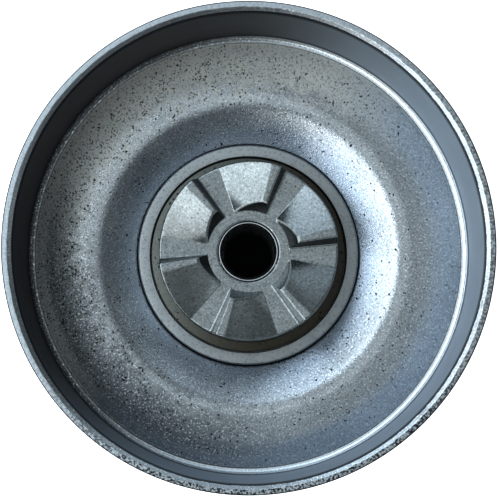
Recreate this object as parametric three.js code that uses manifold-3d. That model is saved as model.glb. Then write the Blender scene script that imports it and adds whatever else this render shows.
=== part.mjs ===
// Flywheel drum: a pressed-steel cup with a crowned floor, carried by a sintered hub whose face is a
// six-tooth starting ratchet. The drum assembly turns freely on a plain bearing sleeve.
// Millimetres, +Z along the axis towards the open side, origin on the axis at the lowest face.

import * as THREE from 'three';
import { mergeVertices } from 'three/addons/utils/BufferGeometryUtils.js';
import Module from 'manifold-3d';

const wasm = await Module();
wasm.setup();

// ---------------------------------------------------------------- driving dimensions

const GAP = 0.3;                 // clearance left between pieces that seat on each other
const RUNNING_GAP = 0.1;         // radial clearance of the sleeve in its bushes
const FINE_SIDES = 64;           // facets round the large pieces
const SMALL_SIDES = 48;          // facets round the bore pieces
const FACET_TURN = 6;            // most that the floor turns from facet to facet, in degrees
const CORNER_STEPS = 3;          // facets across the fillet between wall and floor

// Pressed cup
const SHEET = 2.5;
const DRUM_R = 56;
const DRUM_DEPTH = 25;           // rim to the flat ring at the foot of the wall
const WALL_R = DRUM_R - SHEET;
const RIM_CHAMFER = 0.9;         // inner edge of the rim
const RIM_BREAK = 0.3;           // outer edge of the rim
const CORNER_R = 1.2;            // inside fillet between wall and floor

// Crowned floor from the wall inwards: radius and slope there, in degrees, positive where the floor
// climbs outwards. The floor runs from each of these places to the next in one arc.
const FLOOR_HOLE_R = 27.2;
const FLOOR_SLOPES = [
  [51.9, 0],                     // flat ring at the foot of the wall
  [51.3, -19],                   // foot of the crown
  [45, -6.5],                    // shoulder
  [39.5, -4.5],                  // crown's outer edge
  [35, 24],                      // crown's inner edge, the steepest place
  [FLOOR_HOLE_R, 14],
];

// Collar pressed into the floor's hole, round the hub
const COLLAR_R = FLOOR_HOLE_R - GAP;
const COLLAR_BORE_R = 23.9;
const COLLAR_CHAMFER = 0.7;
const COLLAR_DEPTH = 24.8;       // rim to the collar's top face

// Ratchet hub
const HUB_R = 21.15;
const HUB_DEPTH = 14.4;          // rim to the hub's face between the teeth
const HUB_FLANGE_R = COLLAR_BORE_R - GAP;
const HUB_FLANGE_DEPTH = 25.3;
const TAIL_R = 17;
const HUB_BREAK = 0.4;           // broken edges of the tail

// Saw teeth, in degrees round the axis from each tooth's steep wall
const TOOTH_COUNT = 6;
const TOOTH_HEIGHT = 4.5;
const TOOTH_PHASE = 7.5;
const TOOTH_WALL_FOOT = -2.4;
const TOOTH_WALL_TOP = 0.9;
const TOOTH_CREST_END = 7;
const TOOTH_RAMP_END = 42;
const TOOTH_RAMP_STEPS = 6;
const TOOTH_INNER_R = 9.7;       // foot of the teeth's conical inner face
const TOOTH_INNER_CREST_R = 11.8;
const TOOTH_ROOT = 0.4;          // how far a tooth reaches below the hub's face

// Bearing stack
const SHAFT_R = 6;
const SLEEVE_WALL = 1;
const SLEEVE_R = SHAFT_R + SLEEVE_WALL;
const SLEEVE_MOUTH_CHAMFER = 0.8;
const BUSH_BORE_R = SLEEVE_R + RUNNING_GAP;
const BUSH_R = 9;
const BUSH_LENGTH = 8.5;
const BUSH_CHAMFER = 0.4;
const MOUTH_R = SLEEVE_R + GAP;
const MOUTH_LENGTH = 3;          // narrow mouth of the hub's bore in front of the bushes
const WASHER_R = 15;
const WASHER_THICK = 1.5;
const WASHER_CHAMFER = 0.3;

// Rear clamp ring and the spring ring that holds it on the hub's tail
const CLAMP_R = 31;
const CLAMP_THICK = 3;
const CLAMP_CHAMFER = 0.6;
const SPRING_RING_THICK = 1.75;
const SPRING_RING_R = 20;
const SPRING_GROOVE_DEPTH = 1.1;
const SPRING_RING_OPENING = 14;  // degrees left open between the ring's ends
const TAIL_END_LENGTH = 2.4;     // tail behind the spring ring's groove

// ---------------------------------------------------------------- colours

const MATERIALS = {
  zinc: new THREE.MeshStandardMaterial({ color: 0x9aa0a4, roughness: 0.38, metalness: 1 }),
  turned: new THREE.MeshStandardMaterial({ color: 0xa6a9a9, roughness: 0.45, metalness: 1 }),
  sintered: new THREE.MeshStandardMaterial({ color: 0x8b8f8b, roughness: 0.55, metalness: 1 }),
  bronze: new THREE.MeshStandardMaterial({ color: 0x9a7444, roughness: 0.5, metalness: 1 }),
  polished: new THREE.MeshStandardMaterial({ color: 0xc4c7c9, roughness: 0.2, metalness: 1 }),
  spring: new THREE.MeshStandardMaterial({ color: 0x2c2d30, roughness: 0.4, metalness: 1 }),
};

// ---------------------------------------------------------------- outline helpers

const rad = THREE.MathUtils.degToRad;

function point(r, z) {
  return new THREE.Vector2(r, z);
}

// Points on an arc about (r, z), from one angle to another in degrees, both ends included.
function arc(r, z, radius, from, to, steps) {
  const points = [];
  for (let i = 0; i <= steps; i += 1) {
    const angle = rad(from + ((to - from) * i) / steps);
    points.push(point(r + radius * Math.cos(angle), z + radius * Math.sin(angle)));
  }
  return points;
}

// The line beside a chain of points, on its right-hand side as the chain is followed.
function offsetChain(points, distance) {
  return points.map((here, i) => {
    const before = points[Math.max(i - 1, 0)];
    const after = points[Math.min(i + 1, points.length - 1)];
    const into = here.clone().sub(before).normalize();
    const out = after.clone().sub(here).normalize();
    const along = into.add(out).normalize();
    const edge = after.clone().sub(here.equals(after) ? before : here).normalize();
    const stretch = distance / Math.max(along.dot(edge), 0.5);
    return point(here.x + along.y * stretch, here.y - along.x * stretch);
  });
}

// A closed ring turned from an outline of (radius, height) points.
function turned(outline, sides) {
  const closed = [...outline, outline[0].clone()];
  const geometry = new THREE.LatheGeometry(closed, sides);
  geometry.rotateX(Math.PI / 2);
  return facingOut(weld(geometry));
}

// A ring of rectangular section with equal chamfers on its outer edges.
function plainRing(innerR, outerR, bottom, top, chamfer, sides) {
  return turned([
    point(innerR, bottom),
    point(outerR - chamfer, bottom),
    point(outerR, bottom + chamfer),
    point(outerR, top - chamfer),
    point(outerR - chamfer, top),
    point(innerR, top),
  ], sides);
}

// ---------------------------------------------------------------- solid helpers

function weld(geometry) {
  const bare = geometry.clone();
  bare.deleteAttribute('normal');
  bare.deleteAttribute('uv');
  return mergeVertices(bare, 1e-4);
}

function signedVolume(geometry) {
  const position = geometry.attributes.position;
  const index = geometry.index;
  const corner = [new THREE.Vector3(), new THREE.Vector3(), new THREE.Vector3()];
  let volume = 0;
  for (let i = 0; i < index.count; i += 3) {
    corner.forEach((vector, k) => vector.fromBufferAttribute(position, index.getX(i + k)));
    volume += corner[0].dot(corner[1].clone().cross(corner[2])) / 6;
  }
  return volume;
}

// Turns every face over if the solid is inside out.
function facingOut(geometry) {
  if (signedVolume(geometry) < 0) {
    const index = geometry.index;
    for (let i = 0; i < index.count; i += 3) {
      const second = index.getX(i + 1);
      index.setX(i + 1, index.getX(i + 2));
      index.setX(i + 2, second);
    }
  }
  return geometry;
}

function toSolid(geometry) {
  return new wasm.Manifold(new wasm.Mesh({
    numProp: 3,
    vertProperties: new Float32Array(geometry.attributes.position.array),
    triVerts: new Uint32Array(geometry.index.array),
  }));
}

function fromSolid(solid) {
  const mesh = solid.getMesh();
  const geometry = new THREE.BufferGeometry();
  geometry.setAttribute('position', new THREE.BufferAttribute(mesh.vertProperties, 3));
  geometry.setIndex(new THREE.BufferAttribute(mesh.triVerts, 1));
  return geometry;
}

function piece(name, geometry, material) {
  const shown = geometry.clone();
  shown.computeVertexNormals();
  const mesh = new THREE.Mesh(shown, material);
  mesh.name = name;
  return mesh;
}

// ---------------------------------------------------------------- crowned floor

// Heights below are measured from the rim, downwards negative.

// Points after start on the arc that turns from one slope to another by the radius endR.
function slopeArc(start, fromSlope, endR, toSlope) {
  const radius = (endR - start.x) / (Math.sin(rad(toSlope)) - Math.sin(rad(fromSlope)));
  const steps = Math.ceil(Math.abs(toSlope - fromSlope) / FACET_TURN);
  const points = [];
  for (let i = 1; i <= steps; i += 1) {
    const slope = rad(fromSlope + ((toSlope - fromSlope) * i) / steps);
    points.push(point(
      start.x + radius * (Math.sin(slope) - Math.sin(rad(fromSlope))),
      start.y + radius * (Math.cos(rad(fromSlope)) - Math.cos(slope)),
    ));
  }
  return points;
}

// The inside line of the cup, from the rim down the wall and across the floor to its hole.
function cupInsideLine() {
  const flatZ = -DRUM_DEPTH;
  const line = [
    point(WALL_R, -RIM_CHAMFER),
    ...arc(WALL_R - CORNER_R, flatZ + CORNER_R, CORNER_R, 0, -90, CORNER_STEPS),
    point(FLOOR_SLOPES[0][0], flatZ),
  ];
  for (let i = 1; i < FLOOR_SLOPES.length; i += 1) {
    const [endR, toSlope] = FLOOR_SLOPES[i];
    line.push(...slopeArc(line[line.length - 1], FLOOR_SLOPES[i - 1][1], endR, toSlope));
  }
  return line;
}

const INSIDE_LINE = cupInsideLine();
const FLOOR_HOLE_Z = INSIDE_LINE[INSIDE_LINE.length - 1].y;

// ---------------------------------------------------------------- stack of heights

// Everything behind the floor is stacked from the rim downwards; the last face becomes z = 0.
const FLOOR_BACK_Z = FLOOR_HOLE_Z - SHEET;
const CLAMP_TOP_Z = FLOOR_BACK_Z - GAP;
const CLAMP_BACK_Z = CLAMP_TOP_Z - CLAMP_THICK;
const SPRING_TOP_Z = CLAMP_BACK_Z - GAP;
const SPRING_BACK_Z = SPRING_TOP_Z - SPRING_RING_THICK;
const TAIL_BACK_Z = SPRING_BACK_Z - GAP - TAIL_END_LENGTH;
const WASHER_TOP_Z = TAIL_BACK_Z - GAP;
const LOWEST_Z = WASHER_TOP_Z - WASHER_THICK;

// ---------------------------------------------------------------- pieces of the drum

function drumShell() {
  const outside = offsetChain(INSIDE_LINE, -SHEET);
  outside[0] = point(DRUM_R, -RIM_BREAK);
  outside[outside.length - 1] = point(FLOOR_HOLE_R, FLOOR_BACK_Z);
  const outline = [
    ...INSIDE_LINE,
    ...outside.reverse(),
    point(DRUM_R - RIM_BREAK, 0),
    point(WALL_R + RIM_CHAMFER, 0),
  ];
  return turned(outline, FINE_SIDES);
}

function hubCollar() {
  const top = -COLLAR_DEPTH;
  return turned([
    point(COLLAR_BORE_R, FLOOR_BACK_Z),
    point(COLLAR_R, FLOOR_BACK_Z),
    point(COLLAR_R, top - COLLAR_CHAMFER),
    point(COLLAR_R - COLLAR_CHAMFER, top),
    point(COLLAR_BORE_R, top),
  ], FINE_SIDES);
}

function hubBody() {
  const face = -HUB_DEPTH;
  const bushSeat = face - MOUTH_LENGTH;
  const bushHoleR = BUSH_R + GAP;
  const grooveR = TAIL_R - SPRING_GROOVE_DEPTH;
  return turned([
    point(MOUTH_R, face),
    point(HUB_R, face),
    point(HUB_R, -HUB_FLANGE_DEPTH),
    point(HUB_FLANGE_R, -HUB_FLANGE_DEPTH),
    point(HUB_FLANGE_R, FLOOR_BACK_Z),
    point(TAIL_R, FLOOR_BACK_Z),
    point(TAIL_R, SPRING_TOP_Z + GAP / 2),
    point(grooveR, SPRING_TOP_Z + GAP / 2),
    point(grooveR, SPRING_BACK_Z - GAP),
    point(TAIL_R, SPRING_BACK_Z - GAP),
    point(TAIL_R, TAIL_BACK_Z + HUB_BREAK),
    point(TAIL_R - HUB_BREAK, TAIL_BACK_Z),
    point(bushHoleR, TAIL_BACK_Z),
    point(bushHoleR, bushSeat),
    point(MOUTH_R, bushSeat),
  ], FINE_SIDES);
}

// One saw tooth as a row of radial sections, each a quadrilateral standing on the hub's face.
function sawTooth(wallAngle) {
  const base = -HUB_DEPTH - TOOTH_ROOT;
  const wallSlope = (TOOTH_WALL_TOP - TOOTH_WALL_FOOT) / TOOTH_HEIGHT;
  const rampSlope = (TOOTH_RAMP_END - TOOTH_CREST_END) / TOOTH_HEIGHT;
  const coneSlope = (TOOTH_INNER_CREST_R - TOOTH_INNER_R) / TOOTH_HEIGHT;
  const rootHeight = -TOOTH_ROOT / 2;

  const stations = [
    [TOOTH_WALL_FOOT + wallSlope * rootHeight, rootHeight],
    [TOOTH_WALL_TOP, TOOTH_HEIGHT],
    [(TOOTH_WALL_TOP + TOOTH_CREST_END) / 2, TOOTH_HEIGHT],
  ];
  for (let i = 0; i <= TOOTH_RAMP_STEPS; i += 1) {
    const height = TOOTH_HEIGHT + ((rootHeight - TOOTH_HEIGHT) * i) / TOOTH_RAMP_STEPS;
    stations.push([TOOTH_CREST_END + rampSlope * (TOOTH_HEIGHT - height), height]);
  }

  const positions = [];
  stations.forEach(([angle, height]) => {
    const across = new THREE.Vector2(Math.cos(rad(wallAngle + angle)), Math.sin(rad(wallAngle + angle)));
    const top = -HUB_DEPTH + height;
    const section = [
      [TOOTH_INNER_R - coneSlope * TOOTH_ROOT, base],
      [HUB_R, base],
      [HUB_R, top],
      [TOOTH_INNER_R + coneSlope * height, top],
    ];
    section.forEach(([r, z]) => positions.push(across.x * r, across.y * r, z));
  });

  const corners = 4;
  const index = [];
  for (let s = 0; s + 1 < stations.length; s += 1) {
    for (let k = 0; k < corners; k += 1) {
      const a = s * corners + k;
      const b = s * corners + ((k + 1) % corners);
      index.push(a, b, a + corners, b, b + corners, a + corners);
    }
  }
  const last = (stations.length - 1) * corners;
  index.push(0, 2, 1, 0, 3, 2);
  index.push(last, last + 1, last + 2, last, last + 2, last + 3);

  const geometry = new THREE.BufferGeometry();
  geometry.setAttribute('position', new THREE.Float32BufferAttribute(positions, 3));
  geometry.setIndex(index);
  return facingOut(geometry);
}

function ratchetHub() {
  let solid = toSolid(hubBody());
  const pitch = 360 / TOOTH_COUNT;
  for (let tooth = 0; tooth < TOOTH_COUNT; tooth += 1) {
    solid = solid.add(toSolid(sawTooth(TOOTH_PHASE + tooth * pitch)));
  }
  return fromSolid(solid);
}

function rearClampRing() {
  return plainRing(TAIL_R + GAP, CLAMP_R, CLAMP_BACK_Z, CLAMP_TOP_Z, CLAMP_CHAMFER, FINE_SIDES);
}

// Open spring ring: a flat C cut from an extruded outline.
function springRing() {
  const innerR = TAIL_R - SPRING_GROOVE_DEPTH + GAP;
  const start = rad(SPRING_RING_OPENING / 2);
  const end = rad(360 - SPRING_RING_OPENING / 2);
  const outline = new THREE.Shape();
  outline.absarc(0, 0, SPRING_RING_R, start, end, false);
  outline.absarc(0, 0, innerR, end, start, true);
  outline.closePath();
  const settings = { depth: SPRING_RING_THICK, bevelEnabled: false, curveSegments: SMALL_SIDES };
  const geometry = new THREE.ExtrudeGeometry(outline, settings);
  geometry.translate(0, 0, SPRING_BACK_Z);
  return facingOut(weld(geometry));
}

// ---------------------------------------------------------------- bearing pieces

function bush(top) {
  const bottom = top - BUSH_LENGTH;
  return plainRing(BUSH_BORE_R, BUSH_R, bottom, top, BUSH_CHAMFER, SMALL_SIDES);
}

function bearingSleeve() {
  const top = -HUB_DEPTH - GAP;
  const bottom = LOWEST_Z + WASHER_THICK / 2;
  return turned([
    point(SHAFT_R, bottom),
    point(SLEEVE_R, bottom),
    point(SLEEVE_R, top),
    point(SHAFT_R + SLEEVE_MOUTH_CHAMFER, top),
    point(SHAFT_R, top - 2 * SLEEVE_MOUTH_CHAMFER),
  ], SMALL_SIDES);
}

function thrustWasher() {
  return plainRing(SLEEVE_R + GAP, WASHER_R, LOWEST_Z, WASHER_TOP_Z, WASHER_CHAMFER, SMALL_SIDES);
}

// ---------------------------------------------------------------- assembly

const frontBushTop = -HUB_DEPTH - MOUTH_LENGTH - GAP;
const rearBushTop = TAIL_BACK_Z + GAP + BUSH_LENGTH;

const drum = new THREE.Group();
drum.add(piece('drum_shell', drumShell(), MATERIALS.zinc));
drum.add(piece('hub_collar', hubCollar(), MATERIALS.turned));
drum.add(piece('ratchet_hub', ratchetHub(), MATERIALS.sintered));
drum.add(piece('rear_clamp_ring', rearClampRing(), MATERIALS.turned));
drum.add(piece('spring_ring', springRing(), MATERIALS.spring));
drum.add(piece('front_bush', bush(frontBushTop), MATERIALS.bronze));
drum.add(piece('rear_bush', bush(rearBushTop), MATERIALS.bronze));

const bearing = new THREE.Group();
bearing.add(piece('bearing_sleeve', bearingSleeve(), MATERIALS.polished));
bearing.add(piece('thrust_washer', thrustWasher(), MATERIALS.polished));

const flywheel = new THREE.Group();
flywheel.add(drum, bearing);
flywheel.position.z = -LOWEST_Z;

export default flywheel;
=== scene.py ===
"""Looks of the flywheel drum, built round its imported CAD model.

Metres, +Z along the axis towards the drum's open side, origin on the axis at the lowest face.
"""
import math

import bpy
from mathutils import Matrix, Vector, noise


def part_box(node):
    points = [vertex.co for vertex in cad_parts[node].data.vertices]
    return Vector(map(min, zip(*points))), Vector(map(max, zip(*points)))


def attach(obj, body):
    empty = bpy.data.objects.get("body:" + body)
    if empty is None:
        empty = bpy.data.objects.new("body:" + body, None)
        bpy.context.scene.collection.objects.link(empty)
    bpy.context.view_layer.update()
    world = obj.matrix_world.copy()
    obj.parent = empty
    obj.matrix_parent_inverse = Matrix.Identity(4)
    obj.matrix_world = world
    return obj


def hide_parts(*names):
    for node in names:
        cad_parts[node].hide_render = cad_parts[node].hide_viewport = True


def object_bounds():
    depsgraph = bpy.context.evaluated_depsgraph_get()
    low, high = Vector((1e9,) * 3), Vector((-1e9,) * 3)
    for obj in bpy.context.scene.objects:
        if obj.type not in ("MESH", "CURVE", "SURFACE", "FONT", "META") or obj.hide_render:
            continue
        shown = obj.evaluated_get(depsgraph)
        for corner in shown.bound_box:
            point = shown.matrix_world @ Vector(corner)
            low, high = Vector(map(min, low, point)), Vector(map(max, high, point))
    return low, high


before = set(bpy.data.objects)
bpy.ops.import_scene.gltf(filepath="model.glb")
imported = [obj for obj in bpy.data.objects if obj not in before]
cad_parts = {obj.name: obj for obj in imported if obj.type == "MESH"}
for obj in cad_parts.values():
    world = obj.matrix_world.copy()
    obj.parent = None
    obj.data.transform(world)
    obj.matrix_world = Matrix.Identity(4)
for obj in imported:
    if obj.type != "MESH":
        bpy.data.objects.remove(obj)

MM = 0.001
CAD_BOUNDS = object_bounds()

# ------------------------------------------------------------------ sizes read from the frame

SHELL_LOW, SHELL_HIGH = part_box("drum_shell")
COLLAR_LOW, COLLAR_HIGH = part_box("hub_collar")
HUB_LOW, HUB_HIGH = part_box("ratchet_hub")
CLAMP_LOW, CLAMP_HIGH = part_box("rear_clamp_ring")
SPRING_LOW, SPRING_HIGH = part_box("spring_ring")
SLEEVE_LOW, SLEEVE_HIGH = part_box("bearing_sleeve")
WASHER_LOW, WASHER_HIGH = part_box("thrust_washer")
BUSH_HIGH_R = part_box("front_bush")[1].x

RIM_Z = SHELL_HIGH.z
DRUM_R = SHELL_HIGH.x
FLOOR_BACK_Z = SHELL_LOW.z
COLLAR_R = COLLAR_HIGH.x
FLANGE_R = HUB_HIGH.x
CREST_Z = HUB_HIGH.z
SLEEVE_R = SLEEVE_HIGH.x

# ------------------------------------------------------------------ sizes the boxes don't give

SEAM = 0.15 * MM                  # visible seam between two seated pieces

SHEET = 2.5 * MM
WALL_R = DRUM_R - SHEET
DRUM_DEPTH = 25 * MM
FLAT_Z = RIM_Z - DRUM_DEPTH       # flat ring at the foot of the wall
RIM_CHAMFER = 1.15 * MM           # from the wall to the outer edge of the rim's chamfer
RIM_LIP = 0.3 * MM                # steep lip between the chamfer and the wall, across
RIM_CHAMFER_DEPTH = 0.6 * MM
RIM_LIP_DEPTH = 1.6 * MM          # from the rim down to the foot of the lip
RIM_ROUND = 0.35 * MM             # outer edge of the rim, worn round
RIM_WOBBLE = 0.16 * MM            # how far the chamfer's outer edge strays
RIM_WOBBLE_REACH = 0.7 * MM       # and how far from that edge the straying dies out
RIM_GRAIN = 0.05 * MM             # depth of the torn grain
RIM_LUMPS = 420                   # lumps of the straying edge, per metre
RIM_NICKS = 1700                  # finer nicks on top of them
RIM_GRAINS = 2600                 # grains of the torn surface
RIM_ROW = 0.25 * MM               # between the rows across the rim
SHELL_SIDES = 720
SHELL_INSIDE_ROW = 1.2 * MM
SHELL_OUTSIDE_ROW = 2 * MM
CORNER_R = 1.5 * MM
BEAD_GROOVE_R = 51.9 * MM         # thin forming line just inside the corner
BEAD_GROOVE_DEPTH = 0.08 * MM

# Crowned floor from the wall inwards: radius and slope there, in degrees, positive where the floor
# climbs outwards. The floor runs from each of these places to the next in one arc.
FLOOR_HOLE_R = COLLAR_R + 0.25 * MM
FLOOR_SLOPES = [
    (51.75 * MM, 0),
    (51.3 * MM, -19),
    (45 * MM, -6.5),
    (39.5 * MM, -4.5),
    (35 * MM, 24),
    (FLOOR_HOLE_R, 14),
]
SLOPE_STEP = 1.5                  # most that the floor turns from row to row, in degrees

COLLAR_BORE_R = 23.9 * MM
COLLAR_CHAMFER = 0.4 * MM

HUB_R = 21.15 * MM
TOOTH_HEIGHT = 4.5 * MM
FACE_Z = CREST_Z - TOOTH_HEIGHT
FLANGE_Z = RIM_Z - 25.3 * MM
TAIL_R = 17 * MM
TAIL_GROOVE_DEPTH = 1.1 * MM
MOUTH_R = SLEEVE_R + SEAM
BUSH_SEAT_Z = FACE_Z - 3 * MM

TOOTH_COUNT = 6
TOOTH_PITCH = 360 / TOOTH_COUNT
TOOTH_PHASE = 7.5
TOOTH_LEAD = 6                    # degrees of flat before a tooth that are counted as its own
TOOTH_WALL_FOOT = -2.4            # degrees from the tooth's own angle, as are the next three
TOOTH_WALL_TOP = 0.9
TOOTH_CREST_END = 7
TOOTH_RAMP_END = 42
TOOTH_INNER_R = 9.7 * MM
TOOTH_INNER_CREST_R = 11.8 * MM
TOOTH_BEVEL = 0.35 * MM           # across the worn top edge of a tooth's wall
TOOTH_FOOT = 0.3 * MM             # across the sloping foot of a tooth's wall
TOOTH_BEVEL_SLOPE = 0.7
TOOTH_EDGE_BLEND = 0.1 * MM       # height over which two tooth faces run into each other

HUB_EDGE = 0.45 * MM              # rounding of the hub's face and foot

BORE_R = 6 * MM

# ------------------------------------------------------------------ outlines


def arc(r, z, radius, start, end, steps):
    """Points on an arc about (r, z) from one angle to another in degrees, both ends included."""
    points = []
    for i in range(steps + 1):
        angle = math.radians(start + (end - start) * i / steps)
        points.append((r + radius * math.cos(angle), z + radius * math.sin(angle)))
    return points


def rounded(corners, steps=4):
    """A closed outline through (r, z, fillet radius) corners, with each corner rounded."""
    points = []
    count = len(corners)
    for i, (r, z, fillet) in enumerate(corners):
        here = Vector((r, z))
        before = Vector(corners[i - 1][:2]) - here
        after = Vector(corners[(i + 1) % count][:2]) - here
        if fillet == 0:
            points.append(tuple(here))
            continue
        half = before.angle(after) / 2
        reach = fillet / math.tan(half)
        centre = here + (before.normalized() + after.normalized()).normalized() * fillet / math.sin(half)
        first = here + before.normalized() * reach - centre
        last = here + after.normalized() * reach - centre
        turn = first.angle_signed(last)
        for k in range(steps + 1):
            angle = -turn * k / steps
            cos, sin = math.cos(angle), math.sin(angle)
            r = centre.x + first.x * cos - first.y * sin
            z = centre.y + first.x * sin + first.y * cos
            points.append((r, z))
    return points


def resampled(points, spacing):
    """The same open line with extra points wherever two of its points are further apart than spacing."""
    line = [points[0]]
    for (r0, z0), (r1, z1) in zip(points, points[1:]):
        steps = max(1, math.ceil(math.hypot(r1 - r0, z1 - z0) / spacing))
        line += [(r0 + (r1 - r0) * k / steps, z0 + (z1 - z0) * k / steps) for k in range(1, steps + 1)]
    return line


def offset(points, distance):
    """The open line beside another, on its left-hand side as the line is followed."""
    moved = []
    last = len(points) - 1
    for i, (r, z) in enumerate(points):
        r0, z0 = points[max(i - 1, 0)]
        r1, z1 = points[min(i + 1, last)]
        length = math.hypot(r1 - r0, z1 - z0)
        moved.append((r - (z1 - z0) / length * distance, z + (r1 - r0) / length * distance))
    return moved


# ------------------------------------------------------------------ meshes

SHARP_DEGREES = 40                # least angle of a sharp edge on the shell and the hub
TURNED_SHARP_DEGREES = 32         # and on the plain rings


def mesh_piece(name, vertices, faces, material, sharp_degrees):
    """A mesh object with smooth faces and sharp edges where faces meet at more than an angle."""
    mesh = bpy.data.meshes.new(name)
    mesh.from_pydata(vertices, [], faces)
    mesh.validate()
    mesh.shade_smooth()
    mesh.set_sharp_from_angle(angle=math.radians(sharp_degrees))
    mesh.materials.append(material)
    piece = bpy.data.objects.new(name, mesh)
    bpy.context.scene.collection.objects.link(piece)
    return piece


def fixed(at):
    """A ring's row that lies at one (r, z) all the way round."""
    return lambda angle: at


def ring_grid(rows, angles):
    """Vertices and faces of a ring whose rows each give (r, z) for every angle, faces pointing out.

    The rows go round the section anticlockwise, seen with the radius to the right and z up.
    """
    vertices = []
    for row in rows:
        for angle in angles:
            r, z = row(angle)
            vertices.append((r * math.cos(angle), r * math.sin(angle), z))
    across, count = len(angles), len(rows)
    faces = []
    for i in range(count):
        for k in range(across):
            a, b = i * across, ((i + 1) % count) * across
            n = (k + 1) % across
            faces.append((a + k, a + n, b + n, b + k))
    return vertices, faces


def even_angles(sides):
    return [2 * math.pi * k / sides for k in range(sides)]


def lathe(name, outline, material, sides=256):
    """A ring turned from a closed outline of (r, z) points."""
    area = sum(r0 * z1 - r1 * z0 for (r0, z0), (r1, z1) in zip(outline, outline[1:] + outline[:1]))
    anticlockwise = outline if area > 0 else outline[::-1]
    vertices, faces = ring_grid([fixed(at) for at in anticlockwise], even_angles(sides))
    return mesh_piece(name, vertices, faces, material, TURNED_SHARP_DEGREES)


# ------------------------------------------------------------------ shader building blocks


class Shader:
    """A metal material under construction, with one short call for each kind of node it uses."""

    def __init__(self, name):
        self.material = bpy.data.materials.new(name)
        self.material.use_nodes = True
        self.tree = self.material.node_tree
        self.surface = self.tree.nodes["Principled BSDF"]
        self.place = self.node("ShaderNodeTexCoord").outputs["Object"]
        split = self.node("ShaderNodeSeparateXYZ", {"Vector": self.place})
        self.x, self.y, self.z = (split.outputs[axis] for axis in "XYZ")
        self.radius = self.math("SQRT", self.sum(self.product(self.x, self.x), self.product(self.y, self.y)))
        self.angle = self.math("ARCTAN2", self.y, self.x)

    def node(self, kind, inputs=None, **settings):
        made = self.tree.nodes.new(kind)
        for key, value in settings.items():
            setattr(made, key, value)
        for key, value in (inputs or {}).items():
            self.feed(made.inputs[key], value)
        return made

    def feed(self, socket, value):
        if isinstance(value, bpy.types.NodeSocket):
            self.tree.links.new(value, socket)
        elif isinstance(value, tuple) and len(value) == 3 and socket.type == "RGBA":
            socket.default_value = (*value, 1)
        else:
            socket.default_value = value

    def math(self, operation, a, b=0.0, clamp=False):
        return self.node("ShaderNodeMath", {0: a, 1: b}, operation=operation, use_clamp=clamp).outputs[0]

    def joined(self, operation, values):
        result = values[0]
        for value in values[1:]:
            result = self.math(operation, result, value)
        return result

    def product(self, *values):
        return self.joined("MULTIPLY", values)

    def sum(self, *values):
        return self.joined("ADD", values)

    def highest(self, *values):
        return self.joined("MAXIMUM", values)

    def rest_of(self, mask):
        return self.math("SUBTRACT", 1.0, mask)

    def vector(self, x, y, z):
        return self.node("ShaderNodeCombineXYZ", {"X": x, "Y": y, "Z": z}).outputs[0]

    def noise(self, scale, detail=2.0, roughness=0.5, place=None, distortion=0.0):
        inputs = {
            "Vector": self.place if place is None else place,
            "Scale": scale,
            "Detail": detail,
            "Roughness": roughness,
            "Distortion": distortion,
        }
        return self.node("ShaderNodeTexNoise", inputs).outputs["Fac"]

    def between(self, value, low, high, bottom=0.0, top=1.0):
        """Carries value from the range low..high to bottom..top with smooth ends."""
        inputs = {"Value": value, "From Min": low, "From Max": high, "To Min": bottom, "To Max": top}
        return self.node("ShaderNodeMapRange", inputs, interpolation_type="SMOOTHSTEP").outputs["Result"]

    def rising(self, value, low, high):
        return self.between(value, low, high)

    def falling(self, value, low, high):
        return self.between(value, low, high, 1.0, 0.0)

    def mix(self, factor, first, second):
        made = self.node("ShaderNodeMix", data_type="RGBA")
        self.feed(made.inputs["Factor"], factor)
        self.feed(made.inputs[6], first)
        self.feed(made.inputs[7], second)
        return made.outputs[2]

    def bump(self, height, distance, below=None):
        inputs = {"Height": height, "Distance": distance, "Strength": 1.0}
        if below is not None:
            inputs["Normal"] = below
        return self.node("ShaderNodeBump", inputs).outputs["Normal"]

    def towards(self, azimuth):
        """How far a place lies towards an azimuth in degrees: 1 at the drum's outside there, -1 opposite."""
        turn = math.radians(azimuth)
        along_x = self.product(self.x, math.cos(turn) / DRUM_R)
        return self.sum(along_x, self.product(self.y, math.sin(turn) / DRUM_R))

    def pits(self, per_metre, share, size):
        """1 inside small ragged pits, 0 elsewhere.

        There are per_metre cells in a row a metre long, and a share of them has one pit, of up to a
        size in cells. The cells are looked up at a strayed place, which makes the pits ragged.
        """
        stray_inputs = {"Vector": self.place, "Scale": 1.6 * per_metre, "Detail": 1.0}
        stray = self.node("ShaderNodeTexNoise", stray_inputs).outputs["Color"]
        strayed = {0: stray, 1: (1.1 / per_metre,) * 3, 2: self.place}
        place = self.node("ShaderNodeVectorMath", strayed, operation="MULTIPLY_ADD").outputs["Vector"]
        cell = self.node("ShaderNodeTexVoronoi", {"Vector": place, "Scale": per_metre})
        lots = self.node("ShaderNodeSeparateColor", {"Color": cell.outputs["Color"]})
        chosen = self.math("LESS_THAN", lots.outputs[0], share)
        reach = self.between(lots.outputs[1], 0.0, 1.0, 0.45 * size, size)
        near = self.math("SUBTRACT", reach, cell.outputs["Distance"])
        soft = self.math("MULTIPLY", near, 6 / size, clamp=True)
        return self.product(soft, chosen)

    def finish(self, colour, roughness, normal=None, metallic=1.0):
        self.feed(self.surface.inputs["Base Color"], colour)
        self.feed(self.surface.inputs["Roughness"], roughness)
        self.feed(self.surface.inputs["Metallic"], metallic)
        if normal is not None:
            self.feed(self.surface.inputs["Normal"], normal)
        return self.material


# ------------------------------------------------------------------ materials

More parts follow.
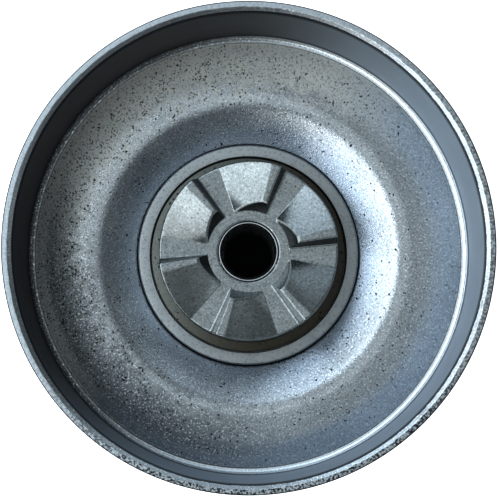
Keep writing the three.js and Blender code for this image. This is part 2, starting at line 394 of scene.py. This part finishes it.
# azimuths of the marks and of the painted light and shade on the drum, in degrees
# side of the worn zone, which is rough and also painted lighter against the wall's shadow
WORN_AND_LIT_SIDE = 135
# side where the floor's middle ring is darker and rougher
DARKER_ZONE_SIDE = 218
PITTED_SIDE = 178
# side where the bluish dish is painted lighter, as painted light
LIT_DISH_SIDE = 15
# side where the bead is painted with a highlight; elsewhere it is painted with shade
LIT_BEAD_SIDE = 345
# side where the inner wall is painted dark with shade
WALL_SHADE_SIDE = 148
# side where the rim's inner chamfer is painted dark with shade
CHAMFER_SHADE_SIDE = 112
TORN_RIM_SIDE = 315
HOLLOW_RIM_SIDE = 265
# side where the turned collar is painted lighter, as painted light
LIT_COLLAR_SIDE = 150
# side where the teeth's steep walls are painted with shade
SHADED_TEETH_SIDE = 97

FRAY = 2.5 * MM                   # how far the worn and the grimy zone's edges stray
DISH_R = 26 * MM                  # the grain is faint inside this radius
DISH_EDGE_R = 35 * MM             # and full outside this one


class SheetPlaces:
    """Masks of places on the drum's sheet, each 1 in its place and 0 elsewhere."""

    def __init__(self, s):
        self.floor = s.falling(s.radius, BEAD_GROOVE_R, BEAD_GROOVE_R + 0.3 * MM)
        self.above_back = s.rising(s.z, FLAT_Z - 1.2 * MM, FLAT_Z - 1.0 * MM)
        self.below_chamfer = s.falling(s.z, RIM_Z - 1.1 * MM, RIM_Z - 0.95 * MM)
        self.inner_side = s.falling(s.radius, WALL_R + 0.9 * MM, WALL_R + 1.1 * MM)
        self.outside = s.rising(s.radius, WALL_R + 1.6 * MM, WALL_R + 2.0 * MM)
        on_wall = s.rising(s.radius, WALL_R - 0.12 * MM, WALL_R - 0.05 * MM)
        self.wall = s.product(on_wall, self.inner_side, self.below_chamfer)


def worn_lit_and_darker_zones(s, places, streak):
    """Masks of the floor's worn zone, whose pale colour is partly painted light against the wall's shadow,
    and of a darker zone, each towards its own side.
    """
    frayed_r = s.sum(s.radius, s.between(streak, 0.3, 0.7, -FRAY, FRAY))
    outer = s.rising(frayed_r, 36 * MM, 47 * MM)
    worn = s.product(s.rising(s.towards(WORN_AND_LIT_SIDE), -0.25, 0.40), outer, places.floor)
    middle = s.product(s.rising(frayed_r, 34 * MM, 43 * MM), s.between(s.radius, 48 * MM, 50 * MM, 1.0, 0.4))
    darker_zone = s.product(s.rising(s.towards(DARKER_ZONE_SIDE), 0.25, 0.75), middle, places.floor)
    return worn, darker_zone


def sheet_pits(s, places, streak, rough):
    """Pits that crowd where the floor is rough, most of all on the pitted side."""
    pitted_way = s.towards(PITTED_SIDE)
    heavy = s.sum(s.between(pitted_way, -0.3, 0.3, 0.4, 0.85), s.between(pitted_way, 0.62, 0.88, 0.0, 0.5))
    crowded = s.product(rough, s.between(streak, 0.36, 0.60, 0.12, 0.80), heavy)
    share = s.highest(crowded, s.between(streak, 0.52, 0.74, 0.03, 0.35))
    share = s.product(share, s.between(s.radius, 47.5 * MM, 49.5 * MM, 1.0, 0.35), places.floor)
    return s.highest(s.pits(1300, share, 0.40), s.pits(2200, share, 0.50), s.pits(300, 0.16, 0.09))


def clean_sheet(s, places, cloud):
    """The plating's colour without wear: drawn streaks outside, a bead painted with a highlight on one side
    and with shade elsewhere, and a bluish dish painted lighter on one side.
    """
    pale = s.mix(cloud, (0.53, 0.55, 0.57), (0.62, 0.64, 0.66))
    drawn_place = s.vector(s.product(s.angle, DRUM_R), 0.0, s.product(s.z, 0.04))
    drawn = s.between(s.noise(1400, detail=3, place=drawn_place), 0.35, 0.65, 0.0, 0.35)
    streaked = s.mix(s.product(drawn, places.outside), pale, (0.30, 0.31, 0.33))

    low = s.falling(s.z, FLAT_Z + 1.6 * MM, FLAT_Z + 2.2 * MM)
    bead = s.product(s.rest_of(places.floor), low, places.above_back, places.inner_side)
    # painted highlight on the bead towards one side, painted shade on the rest
    bead_light = s.rising(s.towards(LIT_BEAD_SIDE), -0.6, 0.2)
    lit_bead = s.mix(bead, streaked, s.mix(bead_light, (0.20, 0.20, 0.20), (0.88, 0.92, 0.96)))

    # the dish is painted lighter towards one side and darker, as shade, away from it
    dish_shade = s.falling(s.towards(LIT_DISH_SIDE), 0.1, 0.35)
    blue = s.mix(dish_shade, (0.42, 0.50, 0.62), (0.31, 0.38, 0.48))
    return s.mix(s.between(s.radius, 28 * MM, 37 * MM, 0.65, 0.0), lit_bead, blue)


def grained_sheet(s, places, mottle, rough, below):
    """Dark flecks and bright burnished tips over a colour, both fainter in the dish."""
    depth = s.product(places.floor, s.between(s.radius, DISH_R, DISH_EDGE_R, 0.15, 0.40))
    flecks = s.product(s.falling(mottle, 0.38, 0.48), s.sum(depth, s.product(rough, 0.10)))
    flecked = s.mix(flecks, below, (0.16, 0.165, 0.175))
    tip_depth = s.between(s.radius, DISH_R, DISH_EDGE_R, 0.2, 0.75)
    tips = s.between(s.noise(2300, detail=2), 0.57, 0.63, 0.0, tip_depth)
    return s.mix(tips, flecked, (0.92, 0.95, 0.98))


def bead_crease_shade(s, places):
    """Painted shade along the bead's thin forming groove."""
    off_groove = s.math("ABSOLUTE", s.math("SUBTRACT", s.radius, BEAD_GROOVE_R))
    low = s.falling(s.z, FLAT_Z + 0.2 * MM, FLAT_Z + 0.4 * MM)
    return s.product(s.between(off_groove, 0.05 * MM, 0.22 * MM, 0.6, 0.0), low, places.above_back)


def sheet_corner_shade(s, places):
    """Painted shade in the corner under the wall and on the steep lip under the rim's chamfer."""
    by_wall = s.rising(s.radius, WALL_R - 0.28 * MM, WALL_R - 0.12 * MM)
    low = s.falling(s.z, FLAT_Z + 1.2 * MM, FLAT_Z + 2.4 * MM)
    off_bead = s.rising(s.z, FLAT_Z + 0.3 * MM, FLAT_Z + 0.6 * MM)
    corner = s.product(by_wall, low, off_bead)
    lip = s.product(s.rising(s.z, RIM_Z - 2.6 * MM, RIM_Z - 1.2 * MM),
                    s.falling(s.z, RIM_Z - 0.8 * MM, RIM_Z - 0.6 * MM))
    return s.product(s.highest(corner, lip), places.inner_side, 0.7)


def shaded_wall(s, cloud):
    """The inner wall's colour, with painted shade darkening it towards one side."""
    pale = s.mix(cloud, (0.44, 0.50, 0.57), (0.50, 0.56, 0.63))
    return s.mix(s.rising(s.towards(WALL_SHADE_SIDE), -0.35, 0.60), pale, (0.07, 0.07, 0.075))


def plated_steel():
    """Zinc-plated drawn sheet: glossy and finely grained, pitted and dull on one side, a darker wall with
    painted shade towards one side.
    """
    s = Shader("plated_steel")
    places = SheetPlaces(s)
    clouds = s.noise(70, detail=4, roughness=0.6)
    cloud = s.rising(clouds, 0.3, 0.7)
    streak = s.noise(330, detail=4, roughness=0.65, distortion=0.6)
    mottle = s.noise(1900, detail=3, roughness=0.65)
    worn, darker_zone = worn_lit_and_darker_zones(s, places, streak)
    rough = s.highest(worn, s.product(darker_zone, 0.75))
    pits = sheet_pits(s, places, streak, rough)
    # painted shade along the bead's groove
    crease_shade = bead_crease_shade(s, places)

    # the worn zone is rougher, and its near-white colour is partly painted light
    worn_and_lightened = s.mix(s.product(worn, 0.95), clean_sheet(s, places, cloud), (0.95, 0.92, 0.85))
    darkened = s.mix(s.product(darker_zone, 0.85), worn_and_lightened, (0.19, 0.20, 0.21))
    grained = grained_sheet(s, places, mottle, rough, darkened)
    pitted = s.mix(s.product(pits, 0.95), grained, (0.02, 0.02, 0.022))
    # painted shade on the floor's edge next to the collar
    floor_gap_shade = s.falling(s.radius, FLOOR_HOLE_R + 0.04 * MM, FLOOR_HOLE_R + 0.16 * MM)
    crease_and_gap_shaded = s.mix(s.highest(crease_shade, floor_gap_shade), pitted, (0.02, 0.02, 0.025))
    # painted shade on the rim's inner chamfer and lip towards one side
    chamfer_shade = s.between(s.towards(CHAMFER_SHADE_SIDE), 0.35, 0.8, 0.0, 0.6)
    shaded_chamfer = s.product(s.rest_of(places.below_chamfer), places.inner_side, chamfer_shade)
    chamfered = s.mix(shaded_chamfer, crease_and_gap_shaded, (0.10, 0.10, 0.11))
    # the inner wall, with its painted shade
    walled = s.mix(places.wall, chamfered, shaded_wall(s, cloud))
    # painted shade in the corner under the wall and under the rim's chamfer
    colour = s.mix(sheet_corner_shade(s, places), walled, (0.03, 0.03, 0.035))

    marks = s.product(s.highest(pits, crease_shade), 0.3)
    gloss = s.between(clouds, 0.3, 0.7, 0.19, 0.24)
    roughness = s.sum(gloss, s.product(rough, 0.16), marks, s.product(places.wall, 0.30))
    matt = s.product(s.highest(rough, s.product(places.wall, 0.6)), 0.8)
    waved = s.bump(s.noise(130, detail=2), 0.05 * MM, s.bump(mottle, 0.05 * MM))
    normal = s.bump(s.rest_of(pits), 0.03 * MM, waved)
    return s.finish(colour, roughness, normal, s.rest_of(matt))


def sheared_steel():
    """The drum's cut rim: torn and mottled on one side, smoother on the other."""
    s = Shader("sheared_steel")
    flecks = s.noise(1700, detail=3, roughness=0.7)
    smooth_tone = s.mix(s.rising(flecks, 0.35, 0.65), (0.58, 0.61, 0.64), (0.70, 0.73, 0.76))
    hollow_way = s.rising(s.towards(HOLLOW_RIM_SIDE), 0.2, 0.7)
    hollow = s.mix(hollow_way, (0.26, 0.27, 0.28), (0.05, 0.055, 0.065))
    torn_tone = s.mix(s.rising(flecks, 0.43, 0.57), hollow, (0.66, 0.69, 0.71))
    colour = s.mix(s.rising(s.towards(TORN_RIM_SIDE), -0.5, 0.4), smooth_tone, torn_tone)
    # painted shade along the rim's rounded outer edge
    outline = s.rising(s.radius, DRUM_R - 0.36 * MM, DRUM_R - 0.16 * MM)
    edge_shaded = s.mix(outline, colour, (0.025, 0.025, 0.03))
    torn = s.noise(900, detail=4, roughness=0.7)
    return s.finish(edge_shaded, s.between(flecks, 0.4, 0.65, 0.52, 0.36), s.bump(torn, 0.06 * MM))


def turned_steel():
    """Light-grey turned steel with fine concentric tool marks, painted lighter towards one side, with
    painted shade along the collar's outer edge.
    """
    s = Shader("turned_steel")
    tool = s.noise(5200, detail=2, place=s.vector(s.radius, s.product(s.angle, 0.0006), s.z))
    cloud = s.noise(260, detail=4, roughness=0.6)
    grain = s.noise(1700, detail=3, roughness=0.6)
    pale = s.mix(s.rising(cloud, 0.35, 0.65), (0.38, 0.40, 0.40), (0.47, 0.48, 0.48))
    # painted light: the turned steel is lighter towards one side
    lit_way = s.between(s.towards(LIT_COLLAR_SIDE), -0.4, 0.35, 0.0, 0.55)
    brighter = s.mix(lit_way, pale, (0.66, 0.68, 0.69))
    mottled = s.mix(s.between(grain, 0.38, 0.46, 0.35, 0.0), brighter, (0.16, 0.16, 0.16))
    # painted shade along the collar's outer edge, next to the floor
    collar_gap_shade = s.rising(s.radius, COLLAR_R - 0.14 * MM, COLLAR_R - 0.04 * MM)
    dark = s.highest(s.product(s.pits(900, 0.12, 0.2), 0.7), collar_gap_shade)
    colour = s.mix(dark, mottled, (0.03, 0.03, 0.03))
    normal = s.bump(tool, 0.005 * MM, s.bump(grain, 0.016 * MM))
    return s.finish(colour, s.between(cloud, 0.3, 0.7, 0.36, 0.44), normal)


def sintered_face(s, cloud):
    """The hub's face: pale, with dark and bright grains."""
    pale = s.mix(s.rising(cloud, 0.3, 0.7), (0.37, 0.39, 0.39), (0.44, 0.46, 0.46))
    fleck = s.noise(1900, detail=3, roughness=0.7)
    dark_flecked = s.mix(s.between(fleck, 0.38, 0.46, 0.5, 0.0), pale, (0.13, 0.13, 0.13))
    return s.mix(s.between(fleck, 0.57, 0.63, 0.0, 0.5), dark_flecked, (0.72, 0.74, 0.75))


def tooth_wall_shade(s):
    """Painted shade on the steep walls of the teeth on one side."""
    facing = s.node("ShaderNodeNewGeometry").outputs["Normal"]
    upright = s.node("ShaderNodeSeparateXYZ", {"Vector": facing}).outputs["Z"]
    on_teeth = s.rising(s.z, FACE_Z - 0.3 * MM, FACE_Z + 0.1 * MM)
    shaded_side = s.rising(s.towards(SHADED_TEETH_SIDE), -0.12, -0.03)
    return s.product(s.falling(upright, 0.45, 0.80), on_teeth, shaded_side, 0.85)


def sintered_steel():
    """Sintered hub: even fine grain and open pores, browner and duller below the face, and painted darker
    there on the side where the hub's shadow falls.
    """
    s = Shader("sintered_steel")
    grain = s.noise(2300, detail=3, roughness=0.6)
    cloud = s.noise(160, detail=4, roughness=0.6)
    below = s.falling(s.z, FLANGE_Z + 1 * MM, FACE_Z - 2 * MM)
    pores = s.product(s.pits(1300, 0.20, 0.26), s.between(cloud, 0.4, 0.6, 0.3, 1.0))
    holes = s.highest(pores, s.product(s.pits(900, 0.35, 0.32), below))

    # below the face: a brown oil tint, with painted shade darkening it towards the right
    oil_and_shade_way = s.rising(s.sum(s.x, s.product(s.y, -0.4)), -24 * MM, 12 * MM)
    oiled_and_shaded = s.mix(oil_and_shade_way, (0.21, 0.215, 0.195), (0.085, 0.07, 0.045))
    aged = s.mix(s.product(below, 0.9), sintered_face(s, cloud), oiled_and_shaded)
    wall_shaded = s.mix(tooth_wall_shade(s), aged, (0.03, 0.03, 0.03))
    colour = s.mix(s.product(holes, 0.85), wall_shaded, (0.02, 0.02, 0.02))
    roughness = s.sum(s.between(grain, 0.3, 0.7, 0.26, 0.34), s.product(below, 0.22))
    normal = s.bump(s.rest_of(holes), 0.03 * MM, s.bump(grain, 0.014 * MM))
    return s.finish(colour, roughness, normal)


def ground_steel():
    """Hardened and ground: bright, with faint grinding lines round the axis."""
    s = Shader("ground_steel")
    lines = s.noise(7000, detail=2, place=s.vector(s.radius, s.product(s.angle, 0.0004), s.z))
    cloud = s.noise(200, detail=3)
    colour = s.mix(s.rising(cloud, 0.3, 0.7), (0.62, 0.63, 0.64), (0.70, 0.71, 0.71))
    return s.finish(colour, s.between(lines, 0.3, 0.7, 0.20, 0.32), s.bump(lines, 0.003 * MM))


def bearing_bronze():
    """Oil-filled sintered bronze."""
    s = Shader("bearing_bronze")
    grain = s.noise(2400, detail=3)
    colour = s.mix(s.rising(grain, 0.3, 0.7), (0.42, 0.27, 0.12), (0.60, 0.42, 0.22))
    return s.finish(colour, s.between(grain, 0.3, 0.7, 0.35, 0.5), s.bump(grain, 0.01 * MM))


def spring_steel():
    """Blackened spring steel, worn brighter in places."""
    s = Shader("spring_steel")
    wear = s.noise(420, detail=4, roughness=0.7)
    colour = s.mix(s.rising(wear, 0.55, 0.75), (0.035, 0.035, 0.04), (0.22, 0.22, 0.23))
    return s.finish(colour, s.between(wear, 0.3, 0.7, 0.5, 0.35), s.bump(wear, 0.01 * MM))


# ------------------------------------------------------------------ drum shell


def slope_arc(start, from_slope, end_r, to_slope):
    """Points after start on the arc that turns from one slope to another by the radius end_r."""
    first, last = math.radians(from_slope), math.radians(to_slope)
    radius = (end_r - start[0]) / (math.sin(last) - math.sin(first))
    steps = math.ceil(abs(to_slope - from_slope) / SLOPE_STEP)
    points = []
    for i in range(1, steps + 1):
        slope = first + (last - first) * i / steps
        r = start[0] + radius * (math.sin(slope) - math.sin(first))
        points.append((r, start[1] + radius * (math.cos(first) - math.cos(slope))))
    return points


def cup_inside_line():
    """The cup's inside section from the rim's chamfer down the wall and across the floor to its hole."""
    line = [(WALL_R, RIM_Z - RIM_LIP_DEPTH)]
    line += arc(WALL_R - CORNER_R, FLAT_Z + CORNER_R, CORNER_R, 0, -90, 10)
    line.append((BEAD_GROOVE_R, FLAT_Z - BEAD_GROOVE_DEPTH))
    line.append((FLOOR_SLOPES[0][0], FLAT_Z))
    for (_, from_slope), (end_r, to_slope) in zip(FLOOR_SLOPES, FLOOR_SLOPES[1:]):
        line += slope_arc(line[-1], from_slope, end_r, to_slope)
    return line


def rim_rows():
    """Rows across the cut rim, from the outside over the end face to the foot of the inner lip."""
    outline = arc(DRUM_R - RIM_ROUND, RIM_Z - RIM_ROUND, RIM_ROUND, 0, 90, 6)
    outline += resampled([outline[-1], (WALL_R + RIM_CHAMFER, RIM_Z)], RIM_ROW)[1:]
    outline += resampled([outline[-1], (WALL_R + RIM_LIP, RIM_Z - RIM_CHAMFER_DEPTH)], RIM_ROW)[1:]
    outline += resampled([outline[-1], (WALL_R, RIM_Z - RIM_LIP_DEPTH)], 0.3 * MM)[1:-1]
    edge_r = WALL_R + RIM_CHAMFER

    def row(r, z):
        def at(angle):
            around = Vector((math.cos(angle) * r, math.sin(angle) * r, 0.0))
            grain = noise.noise(around * RIM_GRAINS) * RIM_GRAIN
            stray = noise.noise(around * RIM_LUMPS) + 0.5 * noise.noise(around * RIM_NICKS)
            near_edge = max(0.0, 1 - abs(r - edge_r) / RIM_WOBBLE_REACH)
            inside = min(1.0, (DRUM_R - r) / RIM_ROUND)
            sunk = min(0.0, grain - RIM_GRAIN) * inside
            return r + stray * RIM_WOBBLE * near_edge, z + sunk
        return at

    return [row(r, z) for r, z in outline]


def drum_shell():
    inside = resampled(cup_inside_line(), SHELL_INSIDE_ROW)
    outside = offset(cup_inside_line(), SHEET)
    outside[0] = (DRUM_R, RIM_Z - RIM_ROUND)
    outside[-1] = (FLOOR_HOLE_R, FLOOR_BACK_Z)
    back = resampled(outside[::-1], SHELL_OUTSIDE_ROW)[:-1]
    rows = [fixed(at) for at in inside + back] + rim_rows()
    vertices, faces = ring_grid(rows[::-1], even_angles(SHELL_SIDES))
    shell = mesh_piece("drum_cup", vertices, faces, plated_steel(), SHARP_DEGREES)
    shell.data.materials.append(sheared_steel())
    for face in shell.data.polygons:
        r = math.hypot(face.center.x, face.center.y)
        if face.center.z > RIM_Z - RIM_ROUND and r > WALL_R + RIM_CHAMFER:
            face.material_index = 1
    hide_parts("drum_shell")
    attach(shell, "drum")


# ------------------------------------------------------------------ ratchet hub


def blend_low(a, b, reach):
    """The lower of two heights, running smoothly from one to the other."""
    overlap = max(reach - abs(a - b), 0) / reach
    return min(a, b) - overlap * overlap * reach / 4


def tooth_height(r, angle):
    """Height of the ratchet's surface above the hub's face."""
    turn = (math.degrees(angle) - TOOTH_PHASE + TOOTH_LEAD) % TOOTH_PITCH - TOOTH_LEAD
    wall = TOOTH_HEIGHT * (turn - TOOTH_WALL_FOOT) / (TOOTH_WALL_TOP - TOOTH_WALL_FOOT)
    ramp = TOOTH_HEIGHT * (TOOTH_RAMP_END - turn) / (TOOTH_RAMP_END - TOOTH_CREST_END)
    cone = TOOTH_HEIGHT * (r - TOOTH_INNER_R) / (TOOTH_INNER_CREST_R - TOOTH_INNER_R)
    top = blend_low(TOOTH_HEIGHT, ramp, 2 * TOOTH_EDGE_BLEND)

    # bevels along the top of the steep wall and of the inner cone, and a sloping foot to the wall
    inner_edge_r = TOOTH_INNER_R + (TOOTH_INNER_CREST_R - TOOTH_INNER_R) * top / TOOTH_HEIGHT
    past_wall = r * math.radians(turn - TOOTH_WALL_TOP)
    in_bevel = min(0, past_wall - TOOTH_BEVEL, r - inner_edge_r - TOOTH_BEVEL)
    height = blend_low(top + TOOTH_BEVEL_SLOPE * in_bevel, cone, TOOTH_EDGE_BLEND)
    height = blend_low(height, wall, TOOTH_EDGE_BLEND)
    if turn < TOOTH_WALL_TOP:
        before_foot = r * math.radians(TOOTH_WALL_FOOT - turn)
        height = max(height, min(TOOTH_BEVEL_SLOPE * (TOOTH_FOOT - before_foot), cone))
    return -blend_low(-height, 0, TOOTH_EDGE_BLEND)


def tooth_angles():
    """Angles round the hub, close together where the teeth's faces meet."""
    before_wall = TOOTH_WALL_FOOT - 2
    past_wall = TOOTH_WALL_TOP + 1.7
    spans = [
        (before_wall, past_wall, 0.2),
        (past_wall, TOOTH_CREST_END - 1, 0.85),
        (TOOTH_CREST_END - 1, TOOTH_CREST_END + 1, 0.25),
        (TOOTH_CREST_END + 1, TOOTH_RAMP_END - 1, 1.5),
        (TOOTH_RAMP_END - 1, TOOTH_RAMP_END + 1, 0.25),
        (TOOTH_RAMP_END + 1, before_wall + TOOTH_PITCH, 1.26),
    ]
    angles = []
    for tooth in range(TOOTH_COUNT):
        start = TOOTH_PHASE + tooth * TOOTH_PITCH
        for low, high, step in spans:
            count = round((high - low) / step)
            angles += [math.radians(start + low + (high - low) * k / count) for k in range(count)]
    return angles


def hub_face_radii():
    """Radii of the rows across the toothed face, closest over the teeth's inner cones."""
    cone_start, cone_end = TOOTH_INNER_R - 0.3 * MM, TOOTH_INNER_CREST_R + 0.4 * MM
    spans = [
        (MOUTH_R + HUB_EDGE, cone_start, 0.4 * MM),
        (cone_start, cone_end, 0.12 * MM),
        (cone_end, HUB_R - HUB_EDGE, 0.5 * MM),
    ]
    radii = []
    for low, high, spacing in spans:
        radii += [r for r, _ in resampled([(low, 0), (high, 0)], spacing)[1:]]
    return radii


def hub_front_rows():
    """Rows from the mouth of the hub's bore across the toothed face and down its side to the flange."""
    def on_face(r, drop):
        return lambda angle: (r, FACE_Z + tooth_height(r, angle) - drop)

    def down_side(share):
        def at(angle):
            top = FACE_Z + tooth_height(HUB_R, angle) - HUB_EDGE
            return HUB_R, top + (FLANGE_Z + HUB_EDGE - top) * share
        return at

    rows = [fixed(at) for at in arc(MOUTH_R + HUB_EDGE, FACE_Z - HUB_EDGE, HUB_EDGE, 180, 90, 4)]
    rows += [on_face(r, 0.0) for r in hub_face_radii()]
    rows += [on_face(r, -z) for r, z in arc(HUB_R - HUB_EDGE, -HUB_EDGE, HUB_EDGE, 90, 0, 4)[1:]]
    rows += [down_side(k / 12) for k in range(1, 13)]
    rows += [fixed(at) for at in arc(HUB_R + HUB_EDGE, FLANGE_Z + HUB_EDGE, HUB_EDGE, 180, 270, 3)[1:]]
    return rows


def ratchet_hub():
    groove_r = TAIL_R - TAIL_GROOVE_DEPTH
    bush_hole_r = BUSH_HIGH_R + SEAM
    rear = rounded([
        (FLANGE_R, FLANGE_Z, 0.25 * MM),
        (FLANGE_R, FLOOR_BACK_Z, 0),
        (TAIL_R, FLOOR_BACK_Z, 0),
        (TAIL_R, SPRING_HIGH.z + SEAM, 0.1 * MM),
        (groove_r, SPRING_HIGH.z + SEAM, 0),
        (groove_r, SPRING_LOW.z - SEAM, 0),
        (TAIL_R, SPRING_LOW.z - SEAM, 0.1 * MM),
        (TAIL_R, HUB_LOW.z, 0.5 * MM),
        (bush_hole_r, HUB_LOW.z, 0.4 * MM),
        (bush_hole_r, BUSH_SEAT_Z, 0),
        (MOUTH_R, BUSH_SEAT_Z, 0),
    ])
    rows = hub_front_rows() + [fixed(at) for at in rear]
    vertices, faces = ring_grid(rows[::-1], tooth_angles())
    hub = mesh_piece("saw_tooth_hub", vertices, faces, sintered_steel(), SHARP_DEGREES)
    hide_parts("ratchet_hub")
    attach(hub, "drum")


# ------------------------------------------------------------------ plain rings


def ring_between(name, low, high, inner_r, outer_r, edge, material, body, node):
    """A turned ring of rectangular section with rounded edges, standing for one CAD node."""
    outline = rounded([
        (inner_r, low, edge),
        (outer_r, low, edge),
        (outer_r, high, edge),
        (inner_r, high, edge),
    ])
    ring = lathe(name, outline, material)
    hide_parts(node)
    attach(ring, body)


def hub_collar(material):
    top = COLLAR_HIGH.z
    outline = rounded([
        (COLLAR_BORE_R, COLLAR_LOW.z, 0.2 * MM),
        (COLLAR_R, COLLAR_LOW.z, 0.2 * MM),
        (COLLAR_R, top - COLLAR_CHAMFER, 0.2 * MM),
        (COLLAR_R - COLLAR_CHAMFER, top, 0.25 * MM),
        (COLLAR_BORE_R, top, 0.2 * MM),
    ])
    collar = lathe("collar_ring", outline, material, sides=384)
    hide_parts("hub_collar")
    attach(collar, "drum")


def bearing_sleeve(material):
    """The sleeve's mouth has two rounded lips with a shallow groove between them."""
    top = SLEEVE_HIGH.z
    outline = rounded([
        (BORE_R, SLEEVE_LOW.z, 0.2 * MM),
        (SLEEVE_R, SLEEVE_LOW.z, 0.15 * MM),
        (SLEEVE_R, top, 0.12 * MM),
        (SLEEVE_R - 0.3 * MM, top, 0.1 * MM),
        (SLEEVE_R - 0.45 * MM, top - 0.5 * MM, 0.05 * MM),
        (BORE_R + 0.32 * MM, top - 1.1 * MM, 0.08 * MM),
        (BORE_R, top - 1.9 * MM, 0.3 * MM),
    ])
    sleeve = lathe("shaft_sleeve", outline, material)
    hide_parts("bearing_sleeve")
    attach(sleeve, "bearing")


# ------------------------------------------------------------------ stage

SHADE_PAD_THICK = 0.1 * MM              # thin dark disc inside the washer's hole, standing for the shade seen through the bore


def floor():
    bpy.ops.mesh.primitive_plane_add(size=3, location=(0, 0, CAD_BOUNDS[0].z))
    ground = bpy.context.object
    ground.name = "floor"
    pale = bpy.data.materials.new("pale_floor")
    pale.use_nodes = True
    surface = pale.node_tree.nodes["Principled BSDF"]
    surface.inputs["Base Color"].default_value = (0.86, 0.86, 0.86, 1)
    surface.inputs["Roughness"].default_value = 0.9
    surface.inputs["Specular IOR Level"].default_value = 0.1
    surface.inputs["Emission Color"].default_value = (1, 1, 1, 1)
    seen = pale.node_tree.nodes.new("ShaderNodeLightPath")
    pale.node_tree.links.new(seen.outputs["Is Camera Ray"], surface.inputs["Emission Strength"])
    ground.data.materials.append(pale)

    # a dark disc that paints the shade seen down the bore
    bpy.ops.mesh.primitive_cylinder_add(radius=SLEEVE_R - SEAM, depth=SHADE_PAD_THICK, vertices=48)
    pad = bpy.context.object
    pad.name = "bore_shade_pad"
    pad.location = (0, 0, CAD_BOUNDS[0].z + SHADE_PAD_THICK / 2)
    dark = bpy.data.materials.new("bore_shade")
    dark.use_nodes = True
    dark.node_tree.nodes["Principled BSDF"].inputs["Base Color"].default_value = (0.004, 0.004, 0.004, 1)
    dark.node_tree.nodes["Principled BSDF"].inputs["Roughness"].default_value = 1.0
    pad.data.materials.append(dark)


def panel(name, azimuth, zenith, wide, high, radiance, colour, away=1.0):
    """A soft light box, one metre away or further. Its direction and its two spans are in degrees."""
    data = bpy.data.lights.new(name, "AREA")
    data.shape = "RECTANGLE"
    data.size = 2 * away * math.tan(math.radians(wide / 2))
    data.size_y = 2 * away * math.tan(math.radians(high / 2))
    data.energy = radiance * math.pi * data.size * data.size_y
    data.color = colour
    lamp = bpy.data.objects.new(name, data)
    turn, lean = math.radians(azimuth), math.radians(zenith)
    towards = Vector((math.sin(lean) * math.cos(turn), math.sin(lean) * math.sin(turn), math.cos(lean)))
    lamp.location = Vector((0, 0, RIM_Z)) + towards * away
    lamp.rotation_euler = towards.to_track_quat("Z", "Y").to_euler()
    lamp.visible_camera = False
    bpy.context.scene.collection.objects.link(lamp)


def lights():
    """A wide window of light boxes on the left, a dimmer ceiling, and weak fill from the right."""
    cool, cooler, neutral = (0.90, 1.0, 1.06), (0.84, 1.0, 1.14), (0.95, 1.0, 1.02)
    window = (
        (116, 27, 1.15, cooler),
        (148, 26, 1.35, cool),
        (180, 24, 1.6, cool),
        (212, 21, 1.5, cool),
        (241, 33, 1.15, neutral),
    )
    for azimuth, top, radiance, colour in window:
        panel(f"window_{azimuth}", azimuth, (top + 85) / 2, 26.5, 85 - top, radiance, colour)
    panel("fill_back", 76, 60, 40, 50, 0.45, cooler)
    panel("fill_front", 272, 70, 18, 30, 0.5, neutral)
    panel("fill_right", 325, 63, 70, 40, 0.22, cool)
    for level, spread in enumerate((26, 36, 46)):
        panel(f"ceiling_{level}", 50, 2.5, spread, spread, 0.2, cool, 1 + 0.1 * level)

    world = bpy.data.worlds.new("room")
    world.use_nodes = True
    background = world.node_tree.nodes["Background"]
    background.inputs["Color"].default_value = (0.15, 0.175, 0.185, 1)
    background.inputs["Strength"].default_value = 1.0
    bpy.context.scene.world = world


CAMERA_HEIGHT = 314.6 * MM        # lens above the rim's plane
CAMERA_OFFSET = (-1.4 * MM, -23.5 * MM)
CAMERA_TILT = 1.5                 # degrees the view leans back from straight down
FOCAL_LENGTH = 100.5
SHIFT = (0.015, 0.132)            # puts the rim in the middle of the frame


def camera():
    data = bpy.data.cameras.new("camera")
    data.lens = FOCAL_LENGTH
    data.shift_x, data.shift_y = SHIFT
    data.clip_start = 0.01
    data.clip_end = 20
    made = bpy.data.objects.new("camera", data)
    made.location = (*CAMERA_OFFSET, RIM_Z + CAMERA_HEIGHT)
    made.rotation_euler = (math.radians(CAMERA_TILT), 0, 0)
    bpy.context.scene.collection.objects.link(made)
    bpy.context.scene.camera = made


# ------------------------------------------------------------------ the drum


def build():
    turned, ground, bronze = turned_steel(), ground_steel(), bearing_bronze()
    drum_shell()
    ratchet_hub()
    hub_collar(turned)
    bearing_sleeve(ground)
    ring_between("clamp_ring", CLAMP_LOW.z, CLAMP_HIGH.z, TAIL_R + SEAM, CLAMP_HIGH.x, 0.5 * MM,
                 turned, "drum", "rear_clamp_ring")
    ring_between("washer", WASHER_LOW.z, WASHER_HIGH.z, SLEEVE_R + SEAM, WASHER_HIGH.x, 0.25 * MM,
                 ground, "bearing", "thrust_washer")
    for node in ("front_bush", "rear_bush"):
        low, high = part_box(node)
        ring_between(node + "_ring", low.z, high.z, SLEEVE_R + 0.1 * MM, high.x, 0.4 * MM,
                     bronze, "drum", node)
    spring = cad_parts["spring_ring"]
    spring.data.materials.clear()
    spring.data.materials.append(spring_steel())


bpy.context.scene.view_settings.view_transform = "Standard"
bpy.context.scene.view_settings.gamma = 0.8      # deepens the shadows
build()
floor()
lights()
camera()
